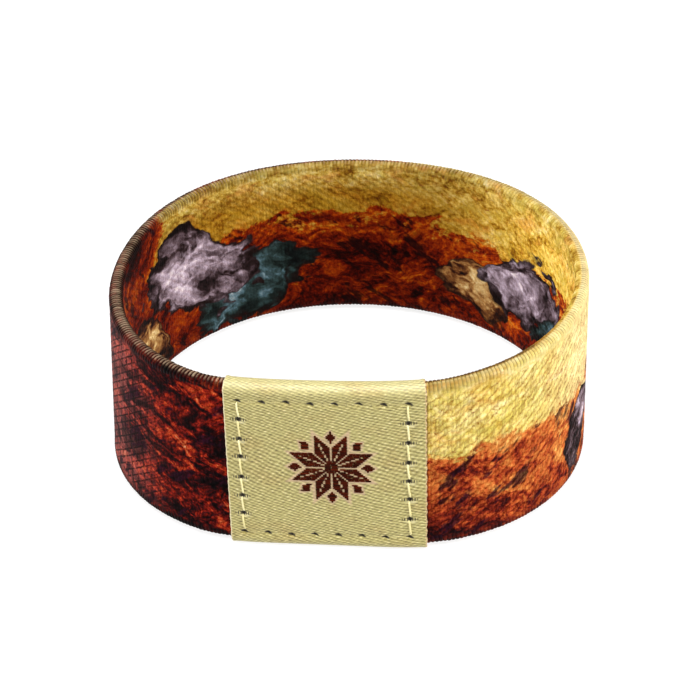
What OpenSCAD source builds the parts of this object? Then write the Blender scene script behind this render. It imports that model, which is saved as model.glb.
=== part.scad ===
// Printed elastic bracelet, in millimetres.
// A woven elastic band is bent into a loop so that its cut ends meet, and a woven label wraps round
// the join like a sleeve and is sewn through. The loop stands on its edge with +Z up and the label
// facing -Y. The origin is the centre of the footprint, on the surface that the bracelet stands on.

/* [Band] */
// Length of the elastic once round its middle line
band_length = 203; // [170:1:230]
// Width of the elastic, which is the height of the loop
band_width = 25.4; // [16:0.2:38]
// Thickness of the elastic
band_thickness = 1.9; // [1.7:0.1:2.6]
// Radius of the rounded woven edges
edge_radius = 0.8; // [0.4:0.1:0.8]
// Gap between the two cut ends, inside the label
end_gap = 0.3; // [0.1:0.1:1]

/* [Label] */
// Width of the woven ribbon, along the loop
label_width = 25.6; // [20:0.1:32]
// Thickness of the woven ribbon
label_thickness = 1; // [1:0.1:1.1]
// How far the ribbon stands proud of the outer face of the band
front_proud = 0.6; // [0.5:0.1:0.8]
// How far the ribbon stands proud of the inner face of the band
back_proud = 0.4; // [0.4:0.1:0.8]
// How far the fold stands past the top edge of the band
top_proud = 0.1; // [0.1:0.1:0.5]
// How far the fold stands past the bottom edge of the band
bottom_proud = 0.3; // [0.1:0.1:0.5]
// Outer radius of the two folds
fold_radius = 1.25; // [1.15:0.05:1.25]
// Room between the ribbon and the elastic that it squeezes
label_room = 0.1; // [0.05:0.05:0.1]
// How far the top of the ribbon is sewn to the right of its bottom
label_slant = 0.2; // [0:0.05:1]

/* [Loop] */
// How much nearer the middle the stiff label lies than a true circle would
front_flat = 2.76; // [0:0.01:4]
// How sharply the loop turns beside the label
corner_sharpness = 1.2; // [0.6:0.1:2]

/* [Hidden] */

// Columns of the two wave tables: waves once round the loop, and the millimetres of their cosine
// and sine parts, measured round from the middle of the label.
WAVES = 0;
COS = 1;
SIN = 2;
// How the soft loop departs from a circle
outline_waves = [
    [2, -0.17, 0.09],
    [3, -0.50, -0.21],
    [4, -0.41, -0.04],
];
// How far the top edge leans outwards, and the bottom edge inwards
lean_waves = [
    [1, -0.03, 0.27],
    [2, 0.13, -0.20],
    [3, 0.33, -0.07],
];

// Columns of a point of a cross-section: out from the middle line, and up from the surface
OUT = 0;
UP = 1;

// Columns of a station of the band: its angle, its cross-section, and its share of the slant
ANGLE = 0;
SECTION = 1;
SLANT = 2;

band_steps = 96;        // stretches of the band outside the label
half_label_steps = 7;   // stretches of the label on each side of its middle
corner_steps = 3;       // facets on each rounded corner of a cross-section
section_size = 4 * (corner_steps + 1);
probe = 0.5;            // half the angle over which a direction is measured
flat_reach = 0.15;      // least cosine at which the flat front still counts
shoulder_run = 0.05;    // run over which the elastic narrows beside the label
least_radius = 0.05;    // least corner radius of a cross-section
total_height = bottom_proud + band_width + top_proud;

function total(list) = list * [for (item = list) 1];
function waves_at(table, a) =
    total([for (w = table) w[COS] * cos(w[WAVES] * a) + w[SIN] * sin(w[WAVES] * a)]);

// Distance of the middle line from the axis, at angle a from the label, for a loop of mean radius r.
// It is the smooth minimum of a wavy circle and the flat front.
function round_distance(a, r) = r + waves_at(outline_waves, a);
function front_distance(a, r) = (r - front_flat) / max(cos(a), flat_reach);
function loop_distance(a, r) =
    r - ln(exp(corner_sharpness * (r - round_distance(a, r)))
        + exp(corner_sharpness * (r - front_distance(a, r)))) / corner_sharpness;
function middle_line(a, r) = loop_distance(a, r) * [sin(a), -cos(a)];

// The mean radius that gives the middle line its real length
circle_radius = band_length / (2 * PI);
circle_points = [for (a = [0:3:360]) middle_line(a, circle_radius)];
circle_length = total([for (i = [1:len(circle_points) - 1]) norm(circle_points[i] - circle_points[i - 1])]);
mean_radius = circle_radius * band_length / circle_length;

function outward(a) =
    let (t = middle_line(a + probe, mean_radius) - middle_line(a - probe, mean_radius))
    [t.y, -t.x] / norm(t);

// A point of the loop: at angle a, out from the middle line, and up from the surface
function loop_point(a, out, up) =
    let (lean = waves_at(lean_waves, a) * (2 * up / total_height - 1))
    let (p = middle_line(a, mean_radius) + (out + lean) * outward(a))
    [p.x, p.y, up];

// A rectangle with rounded corners, from its back to its front and from low to high
function corner(out, up, r, start) =
    [for (i = [0:corner_steps]) let (a = start + 90 * i / corner_steps) [out, up] + r * [cos(a), sin(a)]];
function rounded_section(back, front, low, high, r) = concat(
    corner(front - r, high - r, r, 0),
    corner(back + r, high - r, r, 90),
    corner(back + r, low + r, r, 180),
    corner(front - r, low + r, r, 270)
);

// The band's own cross-section, and that of the label's outside made smaller by an inset
open_section = rounded_section(
    -band_thickness / 2, band_thickness / 2, bottom_proud, bottom_proud + band_width, edge_radius
);
function wrap_section(inset) = rounded_section(
    inset - band_thickness / 2 - back_proud,
    band_thickness / 2 + front_proud - inset,
    inset,
    total_height - inset,
    max(fold_radius - inset, least_radius)
);
squeezed_section = wrap_section(label_thickness + label_room);

// Angles from the middle of the label
front_radius = mean_radius - front_flat;
function front_angle(run) = atan(run / front_radius);
label_angle = asin(label_width / 2 / loop_distance(front_angle(label_width / 2), mean_radius));
slant_angle = front_angle(label_slant);
squeezed_end = label_angle + front_angle(label_room);
open_start = squeezed_end + front_angle(shoulder_run);
function slanted(a, up, share = 1) = a + share * slant_angle * (up / total_height - 0.5);

// Stations of the band, from one cut end round to the other
squeezed_angles = [
    front_angle(end_gap / 2),
    for (i = [1:half_label_steps]) label_angle * i / half_label_steps,
    squeezed_end,
];
open_angles = [for (i = [0:band_steps]) open_start + (360 - 2 * open_start) * i / band_steps];
band_stations = [
    for (a = squeezed_angles) [a, squeezed_section, 1],
    for (a = open_angles) [a, open_section, a > open_start && a < 360 - open_start ? 0 : 1],
    for (i = [len(squeezed_angles) - 1:-1:0]) [360 - squeezed_angles[i], squeezed_section, 1],
];
band_points = [
    for (s = band_stations, q = s[SECTION])
        loop_point(slanted(s[ANGLE], q[UP], s[SLANT]), q[OUT], q[UP])
];

// Stations of the label, round its outside and then round the room inside it
function label_ring(section) = [
    for (i = [-half_label_steps:half_label_steps], q = section)
        loop_point(slanted(label_angle * i / half_label_steps, q[UP]), q[OUT], q[UP])
];
outer_points = label_ring(wrap_section(0));
inner_points = label_ring(wrap_section(label_thickness));

// Half the bracelet's footprint lies on each side of the origin
footprint = concat(band_points, outer_points);
xs = [for (p = footprint) p.x];
ys = [for (p = footprint) p.y];
footprint_middle = [(min(xs) + max(xs)) / 2, (min(ys) + max(ys)) / 2, 0];

// The triangles between each station and the next, from the point numbered first
function wall(first, stations, inwards = false) = [
    for (i = [0:stations - 2], j = [0:section_size - 1])
        let (
            a = first + i * section_size + j,
            b = first + i * section_size + (j + 1) % section_size,
            c = b + section_size,
            d = a + section_size
        )
        each (inwards ? [[a, c, b], [a, d, c]] : [[a, b, c], [a, c, d]])
];

// The triangles between the outer and the inner cross-section at one side of the label
function selvedge(outer, inner, far = false) = [
    for (j = [0:section_size - 1])
        let (k = (j + 1) % section_size, a = outer + j, b = outer + k, c = inner + k, d = inner + j)
        each (far ? [[a, b, c], [a, c, d]] : [[a, c, b], [a, d, c]])
];

module band() {
    last = (len(band_stations) - 1) * section_size;
    color("peru")
        translate(-footprint_middle)
            polyhedron(
                points = band_points,
                faces = concat(
                    wall(0, len(band_stations)),
                    [[for (j = [section_size - 1:-1:0]) j]],
                    [[for (j = [0:section_size - 1]) last + j]]
                )
            );
}

module label() {
    inner = len(outer_points);
    last = 2 * half_label_steps * section_size;
    color("khaki")
        translate(-footprint_middle)
            polyhedron(
                points = concat(outer_points, inner_points),
                faces = concat(
                    wall(0, 2 * half_label_steps + 1),
                    wall(inner, 2 * half_label_steps + 1, inwards = true),
                    selvedge(0, inner),
                    selvedge(last, inner + last, far = true)
                )
            );
}

band();
label();
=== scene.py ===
import math

import bpy
import numpy as np
from mathutils import Matrix, Vector


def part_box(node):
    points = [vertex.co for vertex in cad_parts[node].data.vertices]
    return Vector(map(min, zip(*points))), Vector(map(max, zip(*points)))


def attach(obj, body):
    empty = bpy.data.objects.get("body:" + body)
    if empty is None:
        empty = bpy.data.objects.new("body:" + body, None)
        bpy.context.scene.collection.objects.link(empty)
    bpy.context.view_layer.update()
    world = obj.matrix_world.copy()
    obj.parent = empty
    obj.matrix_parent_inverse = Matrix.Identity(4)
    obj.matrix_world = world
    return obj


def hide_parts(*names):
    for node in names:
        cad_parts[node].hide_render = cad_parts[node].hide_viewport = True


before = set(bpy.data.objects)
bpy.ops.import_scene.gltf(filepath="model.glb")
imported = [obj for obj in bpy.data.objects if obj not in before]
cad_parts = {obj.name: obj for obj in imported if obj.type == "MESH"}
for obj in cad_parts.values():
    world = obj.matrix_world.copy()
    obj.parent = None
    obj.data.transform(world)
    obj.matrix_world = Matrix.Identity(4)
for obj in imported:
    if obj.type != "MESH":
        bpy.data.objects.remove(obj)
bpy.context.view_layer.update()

# Everything below is worked out in millimetres and turned into metres when a mesh is made.
mm = 0.001
fullTurn = 2 * math.pi
chance = np.random.default_rng(20260)


# The loop

# The same loop as in the CAD. Angle 0 is the middle of the label, and the waves are (times round,
# cosine part, sine part) in mm.
loopForm = {
    "length": 203.0,            # the elastic, once round its middle line
    "thickness": 1.9,           # of the elastic
    "edgeRadius": 0.8,
    "frontFlat": 2.76,          # how much nearer the middle the stiff label lies than a circle would
    "cornerSharpness": 1.2,     # how sharply the loop turns beside the label
    "flatReach": 0.15,          # least cosine at which the flat front still counts
    "outlineWaves": ((2, -0.17, 0.09), (3, -0.50, -0.21), (4, -0.41, -0.04)),
    "leanWaves": ((1, -0.03, 0.27), (2, 0.13, -0.20), (3, 0.33, -0.07)),
    "labelWidth": 25.6,
    "labelProud": 0.6,          # how far the label stands out from the elastic in front
    "labelFold": 1.25,          # outer radius of its two folds
    "labelSlant": 0.2,          # how far its top lies to the right of its bottom
    "cadStep": 3.0,             # degrees between the points whose distance gives the mean radius
    "probe": 0.5,               # half the angle over which a direction is measured
    "fineSteps": 14400,         # of the line that distances are measured along
}
bandLow, bandHigh = (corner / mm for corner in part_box("band"))
totalHeight = (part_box("label")[1] / mm).z
bandMiddle = loopForm["thickness"] / 2


def waves(table, angle):
    return sum(c * np.cos(k * angle) + s * np.sin(k * angle) for k, c, s in table)


def loopDistance(angle, radius):
    sharp = loopForm["cornerSharpness"]
    wavy = radius + waves(loopForm["outlineWaves"], angle)
    flat = (radius - loopForm["frontFlat"]) / np.maximum(np.cos(angle), loopForm["flatReach"])
    return radius - np.log(np.exp(sharp * (radius - wavy)) + np.exp(sharp * (radius - flat))) / sharp


def middleLine(angle, radius):
    return loopDistance(angle, radius)[..., None] * np.stack([np.sin(angle), -np.cos(angle)], -1)


def unit(vectors):
    return vectors / np.linalg.norm(vectors, axis=-1, keepdims=True)


def distanceAlong(line):
    return np.concatenate([[0], np.cumsum(np.linalg.norm(np.diff(line, axis=0), axis=1))])


circleRadius = loopForm["length"] / fullTurn
coarse = np.radians(np.arange(0, 360.1, loopForm["cadStep"]))
loopRadius = circleRadius * loopForm["length"] / distanceAlong(middleLine(coarse, circleRadius))[-1]
fineAngle = np.linspace(0, fullTurn, loopForm["fineSteps"] + 1)
finePoint = middleLine(fineAngle, loopRadius)
fineAlong = distanceAlong(finePoint)
loopLength = fineAlong[-1]
halfProbe = math.radians(loopForm["probe"])
fineRun = unit(middleLine(fineAngle + halfProbe, loopRadius) - middleLine(fineAngle - halfProbe, loopRadius))
fineLean = waves(loopForm["leanWaves"], fineAngle)
halfWidth = loopForm["labelWidth"] / 2
flatAngle = math.atan(halfWidth / (loopRadius - loopForm["frontFlat"]))
labelAngle = math.asin(halfWidth / loopDistance(flatAngle, loopRadius))
labelHalf = float(np.interp(labelAngle, fineAngle, fineAlong))     # half its width, along the loop


# A point in the loop's own place: along it from the label's middle, out from its middle line, and up
def rawPoint(along, out, up):
    along, out, up = np.broadcast_arrays(along, out, up)
    turn = np.mod(along, loopLength)
    x, y, runX, runY, lean = (
        np.interp(turn, fineAlong, values) for values in (*finePoint.T, *fineRun.T, fineLean)
    )
    away = out + lean * (2 * up / totalHeight - 1)
    return np.stack([x + away * runY, y - away * runX, up], -1)


# Half the bracelet's footprint lies on each side of the origin, as in the CAD: the round outside of the
# elastic and that of the label are what reaches furthest.
elasticHeights = bandLow.z + loopForm["edgeRadius"], bandHigh.z - loopForm["edgeRadius"]
labelHeights = loopForm["labelFold"], totalHeight - loopForm["labelFold"]
outsideRound = np.concatenate([
    rawPoint(along[:, None], out, np.array(heights)).reshape(-1, 3)
    for along, out, heights in (
        (fineAlong[fineAlong < loopLength - labelHalf][::4], bandMiddle, elasticHeights),
        (np.linspace(-labelHalf, labelHalf, 41), bandMiddle + loopForm["labelProud"], labelHeights),
    )
])
footprintMiddle = (outsideRound.min(0) + outsideRound.max(0)) / 2 * (1, 1, 0)


def loopPoint(along, out, up):
    return rawPoint(along, out, up) - footprintMiddle


print("loop:", round(loopLength, 2), "mm round, of which the label covers", round(2 * labelHalf, 2), "mm")


# The elastic: two woven faces back to back, from cut end to cut end

elastic = {
    "flatQuads": 88,           # up the flat of a face
    "cornerQuads": 3,
    "open": (0.90, 0.50, 25.50),       # out to the face, lowest and highest, where the elastic shows
    "squeezed": (0.80, 0.62, 25.18),   # the same inside the label
    "corner": loopForm["edgeRadius"],
    "backGap": 0.015,          # half the gap between the two faces
    "endGap": 0.15,            # half the gap between the cut ends
    "step": 0.1715,            # mm between stations where the elastic shows
    "hiddenSteps": 8,
    "hiddenMargin": 0.2,       # between the last of those and the label's side
    "shoulder": (0.03, 0.22),  # past the label: where the elastic begins to widen, and where it is full
    "woven": (1.3, 1.8),       # from where to where above the edge the floats begin
    "slantFades": 2.5,         # over how many mm beside the label its slant dies away
    "stripHeight": 27.0,       # of each third of a face on its map, with a margin round it
    "stripMargin": 0.5,
    "backStrips": (0.97, 0.92),        # where the upper and the lower back lie on the map, and how far up
    "backSpan": (0.02, 0.97),
    "endSpot": 0.985,
}
# The weave is columns of floats. Each column's floats lie a third of their pitch higher than the last one's,
# so that they join in slanted ridges.
floats = {
    "pick": 0.547,             # mm from column to column
    "rise": 1.11,              # mm from float to float in a column
    "half": (0.64, 0.52),      # half a float's width and height, in columns and in floats
    "gridStretch": (144, 154, 172, 188),    # from where to where along the outside thin lines of painted shade show instead
    "tilt": 0.30,              # how far a float's top leans along, in columns for each float
    "relief": 0.11,
    "dome": (0.3, 0.85),       # reach of a float's flat top, and then of its slope, in shares of its size
    "height": (0.85, 0.12),    # share of the relief that it fills, and its chance change
    "gridStretchRelief": 0.3,         # the share of it that is left on that stretch
}


# Nodes

def paint(code):       # "rrggbb" as a colour for a shader
    parts = [int(code[i:i + 2], 16) / 255 for i in (0, 2, 4)]
    return (*[c / 12.92 if c <= 0.04045 else ((c + 0.055) / 1.055) ** 2.4 for c in parts], 1)


# What comes out of a node. Sums, products and the like of these make Math nodes, or Vector Math nodes
# where the first is a vector or a colour.
class Output:
    def __init__(self, socket):
        self.socket = socket

    def __add__(self, other):
        return calc("ADD", self, other)

    def __sub__(self, other):
        return calc("SUBTRACT", self, other)

    def __rsub__(self, other):
        return calc("SUBTRACT", other, self)

    def __mul__(self, other):
        return calc("MULTIPLY", self, other)

    def __truediv__(self, other):
        return calc("DIVIDE", self, other)


def put(socket, value):       # an output, a number, a vector or a colour's code
    if isinstance(value, Output):
        socket.id_data.links.new(value.socket, socket)
    else:
        socket.default_value = paint(value) if isinstance(value, str) else value


# A node in the tree of its inputs, unless a tree is given
def addNode(kind, inputs, tree=None, **settings):
    tree = tree or next(value.socket.id_data for value in inputs.values() if isinstance(value, Output))
    node = tree.nodes.new(kind)
    for name, value in settings.items():
        setattr(node, name, value)
    for name, value in inputs.items():
        put(node.inputs[name], value)
    return node


def outputOf(kind, inputs, output=0, **settings):
    return Output(addNode(kind, inputs, **settings).outputs[output])


def calc(operation, *values):
    first = next(value.socket.type for value in values if isinstance(value, Output))
    kind = "ShaderNodeVectorMath" if first in ("VECTOR", "RGBA") else "ShaderNodeMath"
    return outputOf(kind, dict(enumerate(values)), operation=operation)


def split(vector):
    return [Output(socket) for socket in addNode("ShaderNodeSeparateXYZ", {"Vector": vector}).outputs]


def joined(x, y, z=0.0):
    return outputOf("ShaderNodeCombineXYZ", {"X": x, "Y": y, "Z": z})


def reachOf(vector):
    return outputOf("ShaderNodeVectorMath", {0: vector}, "Value", operation="LENGTH")


def rotated(vector, angle):       # about the z axis
    return outputOf("ShaderNodeVectorRotate", {"Vector": vector, "Angle": angle}, rotation_type="Z_AXIS")


def ranged(value, low, high, toLow=0.0, toHigh=1.0, smooth=True):
    return outputOf("ShaderNodeMapRange", {
        "Value": value, "From Min": low, "From Max": high, "To Min": toLow, "To Max": toHigh,
    }, "Result", interpolation_type="SMOOTHSTEP" if smooth else "LINEAR")


def during(value, begin, full, fade, finish):       # 1 between full and fade, 0 outside begin and finish
    return ranged(value, begin, full) * ranged(value, finish, fade)


def centred(value, scale):
    return (value - 0.5) * scale


# Noise at a place that is stretched by so much along each axis
def noise(place, stretch, detail, roughness, distortion=0.0, output="Fac"):
    return outputOf("ShaderNodeTexNoise", {
        "Vector": place * stretch, "Scale": 1.0, "Detail": detail, "Roughness": roughness,
        "Distortion": distortion,
    }, output)


# How far noise pushes a place about, up to half of reach along each axis
def pushed(place, stretch, detail, roughness, reach):
    return (noise(place, stretch, detail, roughness, output="Color") - (0.5, 0.5, 0.5)) * reach


def mixValue(share, first, second):
    return outputOf("ShaderNodeMix", {"Factor": share, "A": first, "B": second}, "Result")


def mixColor(share, first, second, blend="MIX"):
    return outputOf("ShaderNodeMix", {"Factor": share, "A": first, "B": second}, "Result",
                    data_type="RGBA", blend_type=blend)


def shaded(color, share):      # a colour made lighter or darker by a share
    return outputOf("ShaderNodeVectorMath", {0: color, "Scale": share}, operation="SCALE")


def ramp(value, stops):        # each stop a place and a colour's code or a level
    node = addNode("ShaderNodeValToRGB", {"Fac": value})
    elements = node.color_ramp.elements
    while len(elements) < len(stops):
        elements.new(0.5)
    for element, (place, shade) in zip(elements, stops):
        element.position = place
        element.color = paint(shade) if isinstance(shade, str) else (shade, shade, shade, 1)
    return Output(node.outputs["Color"])


# A new group, what comes into it, and the sockets of its outputs. Names are listed by their kind.
def newGroup(name, inputs, outputs):
    group = bpy.data.node_groups.new(name, "ShaderNodeTree")
    for kinds, direction in ((inputs, "INPUT"), (outputs, "OUTPUT")):
        for kind, labels in kinds.items():
            for label in labels.split():
                group.interface.new_socket(name=label, in_out=direction, socket_type="NodeSocket" + kind)
    incoming = [Output(socket) for socket in group.nodes.new("NodeGroupInput").outputs if socket.name]
    return group, incoming, group.nodes.new("NodeGroupOutput").inputs


def useGroup(group, inputs):
    node = addNode("ShaderNodeGroup", inputs, node_tree=group)
    return {socket.name: Output(socket) for socket in node.outputs}


# A material and its shader, with these values on the shader's own sockets
def newMaterial(name, values):
    material = bpy.data.materials.new(name)
    material.use_nodes = True
    shader = material.node_tree.nodes["Principled BSDF"]
    for label, value in values.items():
        put(shader.inputs[label], value)
    return material, shader


# The shader's colour, and a relief whose full height is so many metres
def finishShader(shader, color, height, distance, strength):
    put(shader.inputs["Base Color"], color)
    bump = outputOf("ShaderNodeBump", {"Height": height, "Distance": distance, "Strength": strength})
    put(shader.inputs["Normal"], bump)


def readValue(shader, name, output="Fac"):       # what the mesh says at each of its points
    return outputOf("ShaderNodeAttribute", {}, output, tree=shader.id_data, attribute_name=name)


def newObject(name, data):
    thing = bpy.data.objects.new(name, data)
    bpy.context.scene.collection.objects.link(thing)
    return thing


# Camera, floor and light

view = {
    "azimuth": 6.43,
    "elevation": 31.65,
    "distance": 350.0,
    "roll": -1.88,
    "focal": 2484.8,                  # in pixels of the 700 x 700 photo
    "imageSide": 700,
    "imageAim": (348.49, 345.47),     # where the aim lands in the photo
    "sensor": 36.0,
    "clip": (0.01, 20),               # in metres
}


def makeCamera():
    azimuth, elevation = math.radians(view["azimuth"]), math.radians(view["elevation"])
    back = Vector((
        math.sin(azimuth) * math.cos(elevation),
        -math.cos(azimuth) * math.cos(elevation),
        math.sin(elevation),
    ))
    data = bpy.data.cameras.new("camera")
    data.sensor_width = view["sensor"]
    data.lens = view["focal"] * view["sensor"] / view["imageSide"]
    data.clip_start, data.clip_end = view["clip"]
    camera = newObject("camera", data)
    turn = back.to_track_quat("Z", "Y").to_matrix() @ Matrix.Rotation(math.radians(view["roll"]), 3, "Z")
    aim = Vector((-footprintMiddle[0], -footprintMiddle[1], totalHeight / 2))      # the loop's own centre
    place = aim + back * view["distance"]
    # The camera turns a little, so that the aim lands beside the middle of the picture.
    half = view["imageSide"] / 2
    offX = (half - view["imageAim"][0]) / view["focal"]
    offY = (view["imageAim"][1] - half) / view["focal"]
    look = turn @ Vector((offX, offY, -1))
    turn = turn @ Vector((0, 0, -1)).rotation_difference(turn.inverted() @ look).to_matrix()
    camera.matrix_world = Matrix.Translation(place * mm) @ turn.to_4x4()
    bpy.context.scene.camera = camera


studio = {
    "world": (0.95, 0.96, 1.0, 1), "worldStrength": 0.06,
    # name, place, size and power of each soft light, in metres and watts, and its colour
    "lights": (
        ("right", (0.62, -0.16, 0.32), 0.35, 5.0, (1.0, 0.98, 0.95)),
        ("left", (-0.60, -0.20, 0.32), 0.35, 3.2, (1.0, 0.97, 0.98)),
        ("above", (0.0, -0.20, 0.73), 0.50, 6.0, (1.0, 1.0, 1.0)),
    ),
    "lightAim": (0, 0, 0.01),
    "floorSide": 6.0,
    "floorDrop": 0.00002,
    "floor": {
        "Base Color": (0.24, 0.24, 0.24, 1), "Roughness": 0.9, "Specular IOR Level": 0.1,
        "Emission Color": "ffffff", "Emission Strength": 0.84,
    },
}


def makeStudio():
    world = bpy.data.worlds.new("studio")
    bpy.context.scene.world = world
    world.use_nodes = True
    background = world.node_tree.nodes["Background"]
    background.inputs["Color"].default_value = studio["world"]
    background.inputs["Strength"].default_value = studio["worldStrength"]
    for name, place, size, power, color in studio["lights"]:
        data = bpy.data.lights.new(name, "AREA")
        data.shape = "DISK"
        data.size, data.energy, data.color = size, power, color
        light = newObject(name, data)
        light.location = place
        aim = Vector(studio["lightAim"]) - Vector(place)
        light.rotation_euler = aim.to_track_quat("-Z", "Y").to_euler()
    side = studio["floorSide"] / 2
    mesh = bpy.data.meshes.new("floor")
    corners = [(-side, -side, 0), (side, -side, 0), (side, side, 0), (-side, side, 0)]
    mesh.from_pydata(corners, [], [(0, 1, 2, 3)])
    floor = newObject("floor", mesh)
    floor.location.z = -studio["floorDrop"]
    mesh.materials.append(newMaterial("paleFloor", studio["floor"])[0])
    bpy.context.scene.view_settings.view_transform = "Standard"
    bpy.context.scene.view_settings.look = "None"


makeCamera()
makeStudio()
print("camera and studio are ready")


# The printed picture: gold and rust strata with grey agate pods, worked out from the place on the elastic

picture = {
    "rust": ((0, "080303"), (0.18, "220604"), (0.32, "4a0e05"), (0.45, "7a2007"), (0.57, "9f3b0b"),
             (0.69, "c25c14"), (0.82, "d98a30"), (1, "e9bd68")),
    "amber": ((0, "16070b"), (0.15, "3d0f0b"), (0.28, "6b1e0f"), (0.42, "9a421d"), (0.56, "bd6930"),
              (0.70, "d18c46"), (0.85, "dfa960"), (1, "edc98a")),
    "crimson": ((0, "050304"), (0.20, "180507"), (0.36, "3e0a09"), (0.50, "6e150c"), (0.64, "9a2f14"),
                (0.78, "b5532c"), (0.90, "c07a52"), (1, "d0a07c")),
    "gold": ((0, "6b430f"), (0.20, "93701f"), (0.38, "b5983f"), (0.54, "ccb560"), (0.74, "dccc84"),
             (1, "efe7ba")),
    "violet": ((0, "0c0707"), (0.18, "2a1d1f"), (0.36, "55464d"), (0.54, "83737e"), (0.72, "ac9cab"),
               (1, "e6dbe0")),
    "slate": ((0, "080b0b"), (0.22, "17211f"), (0.45, "2b3c3d"), (0.65, "47606a"), (0.84, "74878f"),
              (1, "b9c1c2")),
    "wood": ((0, "0d0605"), (0.22, "371a0d"), (0.42, "6d4321"), (0.60, "9a7140"), (0.80, "c0a068"),
             (1, "e0cf9f")),
    # Each stretch of the elastic has its own layers, from the bottom edge to the top: above 0.5 is gold
    "right": ((0, 0.08), (0.15, 0.18), (0.22, 0.30), (0.30, 0.34), (0.37, 0.30), (0.44, 0.32), (0.53, 0.43),
              (0.60, 0.62), (1, 0.78)),
    "left": ((0, 0.08), (0.20, 0.26), (0.34, 0.10), (0.50, 0.30), (0.64, 0.12), (0.80, 0.24), (1, 0.18)),
    "inside": ((0, 0.34), (0.10, 0.26), (0.24, 0.38), (0.36, 0.24), (0.50, 0.36), (0.62, 0.45), (0.67, 0.60),
               (0.80, 0.64), (1, 0.62)),
    "insideLeft": ((0, 0.26), (0.20, 0.34), (0.40, 0.24), (0.60, 0.36), (0.74, 0.40), (0.86, 0.24),
                   (1, 0.08)),
    # Places along the outside, then along the inside, in mm
    "turns": (86, 104),             # where the right layers give way to the left ones
    "amberLightens": (16, 36),
    "roseSheen": (146, 158, 168, 182),   # a rose sheen is painted in on the far left, where the face turns away
    "pale": (24, 46, 64, 84),       # the gold pales towards the right side: partly the print, partly a painted highlight
    "insideTurns": (134, 146),
    # where the inside's gold is painted lighter towards its right: painted light
    "insidePale": (92, 68),
    "tintTurns": (62, 98),
    # The noises: their waves per mm along, up and between the two faces, then detail, roughness and, in
    # some, distortion
    "push": ((0.085, 0.13, 0.3), 3, 0.55, (16.0, 11.0, 0.0)),     # the last is how far it pushes, in mm
    "swell": ((0.036, 0.03, 0.3), 2, 0.5),
    "ragged": ((0.19, 0.30, 0.3), 6, 0.66),
    "mottle": ((0.14, 0.30, 1.7), 5, 0.66, 0.6),
    "hue": ((0.20, 0.30, 2.0), 4, 0.68),
    "veins": ((0.10, 0.18, 0.9), 5, 0.62),
    "lobes": ((0.17, 0.24, 0.6), 2, 0.5),
    "grit": ((0.95, 1.25, 1.3), 3, 0.68),
    "flecks": ((0.62, 1.3, 3.1), 3, 0.6),
    "strokes": ((0.20, 0.95, 0.7), 4, 0.64),
    "blots": ((0.15, 0.36, 2.3), 3, 0.62),
    "podBands": ((1.0, 1.0, 1.0), 3, 0.55, 0.3),
    "seam": 60.0,                   # how far apart in the noise the two faces lie
    "strokeTilt": 42, "blotTilt": -38,       # degrees
    # Each pod: along, up, half length, half height, tilt in degrees, face (0 outside, 1 inside), palette
    "pods": (
        (121.0, 7.0, 11.0, 5.0, -10, 1, "slate"),
        (132.0, 12.5, 13.5, 6.6, 14, 1, "violet"),
        (145.0, 8.0, 7.5, 4.6, 30, 1, "wood"),
        (83.0, 7.5, 7.0, 4.0, 14, 1, "wood"),
        (72.0, 11.0, 9.5, 5.2, -18, 1, "violet"),
        (63.0, 6.0, 7.0, 3.8, 8, 1, "slate"),
        (42.0, 7.5, 7.0, 3.8, 20, 0, "violet"),
        (62.0, 15.5, 9.5, 4.8, -14, 0, "slate"),
        (70.0, 11.0, 6.0, 3.4, 16, 0, "wood"),
        (122.0, 12.0, 11.5, 5.4, 16, 0, "violet"),
        (136.0, 8.5, 7.5, 3.8, -12, 0, "wood"),
    ),
    "podDepth": 0.3,                # half of it, between the two faces
    "podSway": (0.45, 0.45, 1.0),   # the share of the push that the pods follow
}


# One agate pod: where it shows, its dark outline, and how light each place in it is. Its bands lie round
# its middle.
def makePodShape():
    inputs = {"Vector": "Place Middle Half", "Float": "Tilt Ragged Rough"}
    group, incoming, outs = newGroup("agatePod", inputs, {"Float": "Mask Outline Tone"})
    place, middle, half, tilt, ragged, rough = incoming
    share = rotated(place - middle, tilt) / half
    depth = ragged + 1.0 - reachOf(share)
    put(outs["Mask"], ranged(depth, -0.02, 0.06))
    put(outs["Outline"], ranged(depth + rough * 0.12, 0.26, 0.02))
    # The pod's own middle moves it in the noise, so that no two are alike.
    moved = outputOf("ShaderNodeMath", {0: middle, 1: 0.37}, operation="MULTIPLY")
    bands = noise(share * (1.9, 1.5, 0.0) + joined(moved, 0.0, depth * 2.0), *picture["podBands"])
    put(outs["Tone"], centred(bands, 2.2) + rough * 0.55 + ranged(depth, 0.0, 0.9, 0.22, 0.62))
    return group


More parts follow.
